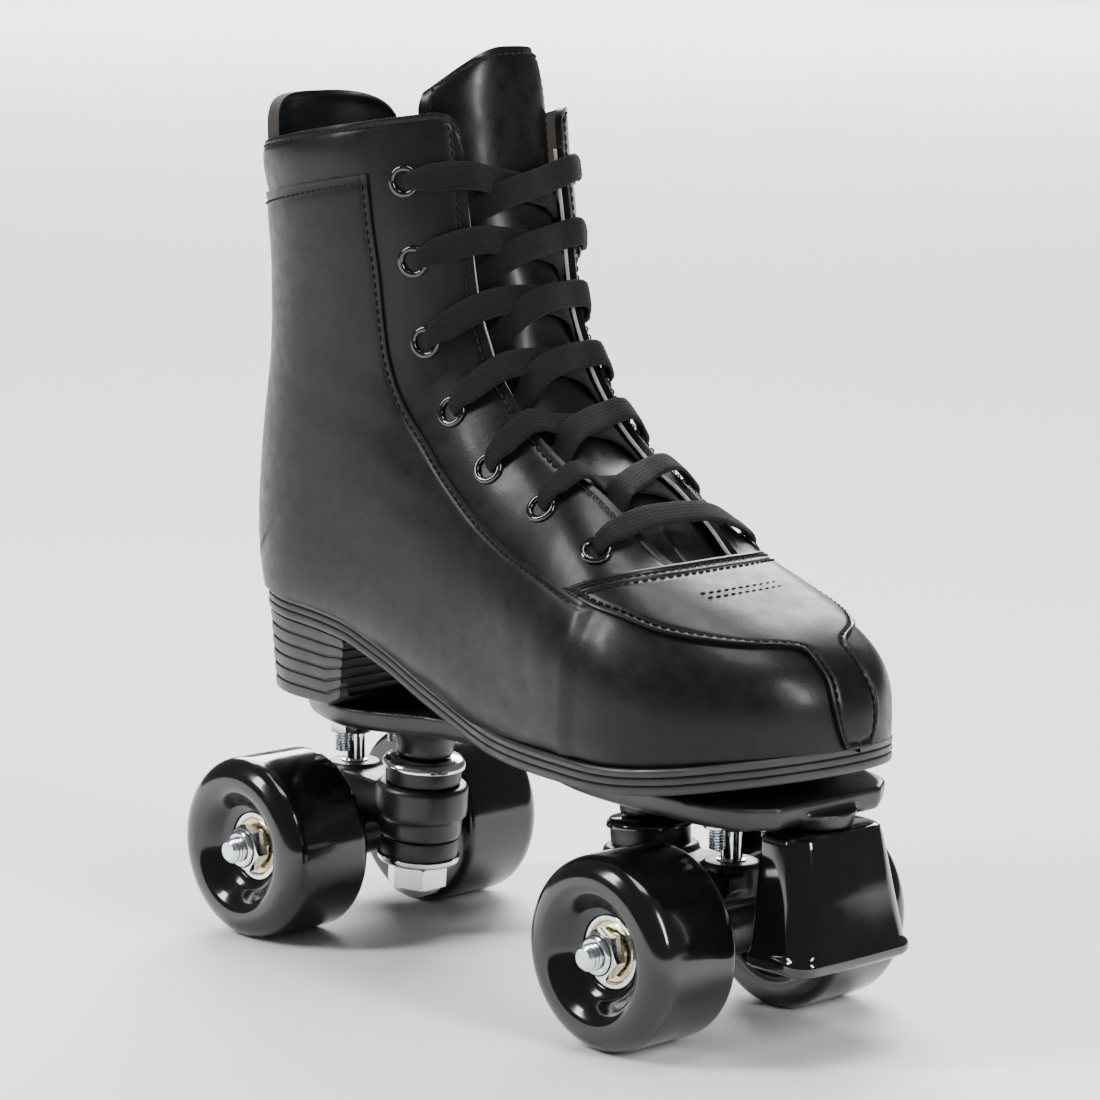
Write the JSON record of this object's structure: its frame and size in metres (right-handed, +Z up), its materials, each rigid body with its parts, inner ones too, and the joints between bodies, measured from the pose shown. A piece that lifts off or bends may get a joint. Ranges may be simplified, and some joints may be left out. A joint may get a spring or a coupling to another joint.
{
  "type": "quad roller skate",
  "caption": "Laced ankle boot on a flat plate with two rubber-cushioned steering trucks, side-by-side wheels and a rubber toe stop under the toe.",
  "frame": {"origin": "on the floor under the middle of the skate's bounding box, in the boot's middle plane", "axes": "+X towards the toe, +Y towards the wearer's left, +Z up from the floor the wheels stand on"},
  "size_m": [0.2516, 0.112, 0.2838],
  "materials": {
    "upper_leather": "fine-grained coated leather, soft sheen",
    "lining": "dark brown-grey brushed lining",
    "sole_rubber": "satin dark grey",
    "lace": "flat woven black",
    "eyelets": "black gloss",
    "plate_plastic": "satin black moulded",
    "stop_rubber": "polished black",
    "wheel_urethane": "glossy black urethane",
    "cushion_rubber": "satin black",
    "zinc_steel": "bright zinc plated",
    "chrome_steel": "polished chrome",
    "black_steel": "black gloss",
    "bearing_steel": "yellow passivated shield in a polished ring"
  },
  "bodies": {
    "boot_and_plate": {"outsole": "sole_rubber", "heel": "sole_rubber", "insole": "lining", "quarter_left": "upper_leather", "facing_left": "upper_leather", "quarter_right": "upper_leather", "facing_right": "upper_leather", "vamp": "upper_leather", "tongue": "upper_leather", "back_tab": "lining", "lace": "lace", "eyelet_row_left": "eyelets", "eyelet_row_right": "eyelets", "baseplate": "plate_plastic", "toe_stop": "stop_rubber", "toe_stop_stem": "zinc_steel", "plate_bolt_front_left": "zinc_steel", "plate_nut_front_left": "zinc_steel", "plate_bolt_front_right": "zinc_steel", "plate_nut_front_right": "zinc_steel", "plate_bolt_rear_left": "zinc_steel", "plate_nut_rear_left": "zinc_steel", "plate_bolt_rear_right": "zinc_steel", "plate_nut_rear_right": "zinc_steel", "pivot_cup_front": "cushion_rubber", "kingpin_front": "chrome_steel", "kingpin_nut_front": "chrome_steel", "upper_washer_front": "black_steel", "lower_washer_front": "chrome_steel", "upper_cushion_front": "cushion_rubber", "lower_cushion_front": "cushion_rubber", "pivot_cup_rear": "cushion_rubber", "kingpin_rear": "chrome_steel", "kingpin_nut_rear": "chrome_steel", "upper_washer_rear": "chrome_steel", "lower_washer_rear": "chrome_steel", "upper_cushion_rear": "cushion_rubber", "lower_cushion_rear": "cushion_rubber"},
    "truck_front": {"hanger_front": "plate_plastic", "axle_front": "zinc_steel", "pivot_pin_front": "chrome_steel", "axle_nut_front_left": "chrome_steel", "axle_nut_front_right": "chrome_steel"},
    "truck_rear": {"hanger_rear": "plate_plastic", "axle_rear": "zinc_steel", "pivot_pin_rear": "chrome_steel", "axle_nut_rear_left": "chrome_steel", "axle_nut_rear_right": "chrome_steel"},
    "wheel_front_left": {"wheel_front_left": "wheel_urethane", "bearing_outer_front_left": "bearing_steel", "bearing_inner_front_left": "bearing_steel"},
    "wheel_front_right": {"wheel_front_right": "wheel_urethane", "bearing_outer_front_right": "bearing_steel", "bearing_inner_front_right": "bearing_steel"},
    "wheel_rear_left": {"wheel_rear_left": "wheel_urethane", "bearing_outer_rear_left": "bearing_steel", "bearing_inner_rear_left": "bearing_steel"},
    "wheel_rear_right": {"wheel_rear_right": "wheel_urethane", "bearing_outer_rear_right": "bearing_steel", "bearing_inner_rear_right": "bearing_steel"}
  },
  "joints": [
    {"name": "truck_front_steer", "type": "hinge", "parent": "boot_and_plate", "child": "truck_front", "pos_m": [0.07275, 0, 0.062], "axis": [-0.8359, 0, -0.5489], "range_deg": [-7, 7], "stiffness_Nm_per_rad": 8, "deforming": ["upper_cushion_front", "lower_cushion_front"]},
    {"name": "truck_rear_steer", "type": "hinge", "parent": "boot_and_plate", "child": "truck_rear", "pos_m": [-0.09965, 0, 0.062], "axis": [0.8359, 0, -0.5489], "range_deg": [-7, 7], "stiffness_Nm_per_rad": 8, "deforming": ["upper_cushion_rear", "lower_cushion_rear"]},
    {"name": "wheel_front_left_spin", "type": "hinge", "parent": "truck_front", "child": "wheel_front_left", "pos_m": [0.06855, 0.0373, 0.029], "axis": [0, 1, 0], "continuous": true},
    {"name": "wheel_front_right_spin", "type": "hinge", "parent": "truck_front", "child": "wheel_front_right", "pos_m": [0.06855, -0.0373, 0.029], "axis": [0, 1, 0], "continuous": true},
    {"name": "wheel_rear_left_spin", "type": "hinge", "parent": "truck_rear", "child": "wheel_rear_left", "pos_m": [-0.09545, 0.0373, 0.029], "axis": [0, 1, 0], "continuous": true},
    {"name": "wheel_rear_right_spin", "type": "hinge", "parent": "truck_rear", "child": "wheel_rear_right", "pos_m": [-0.09545, -0.0373, 0.029], "axis": [0, 1, 0], "continuous": true}
  ]
}
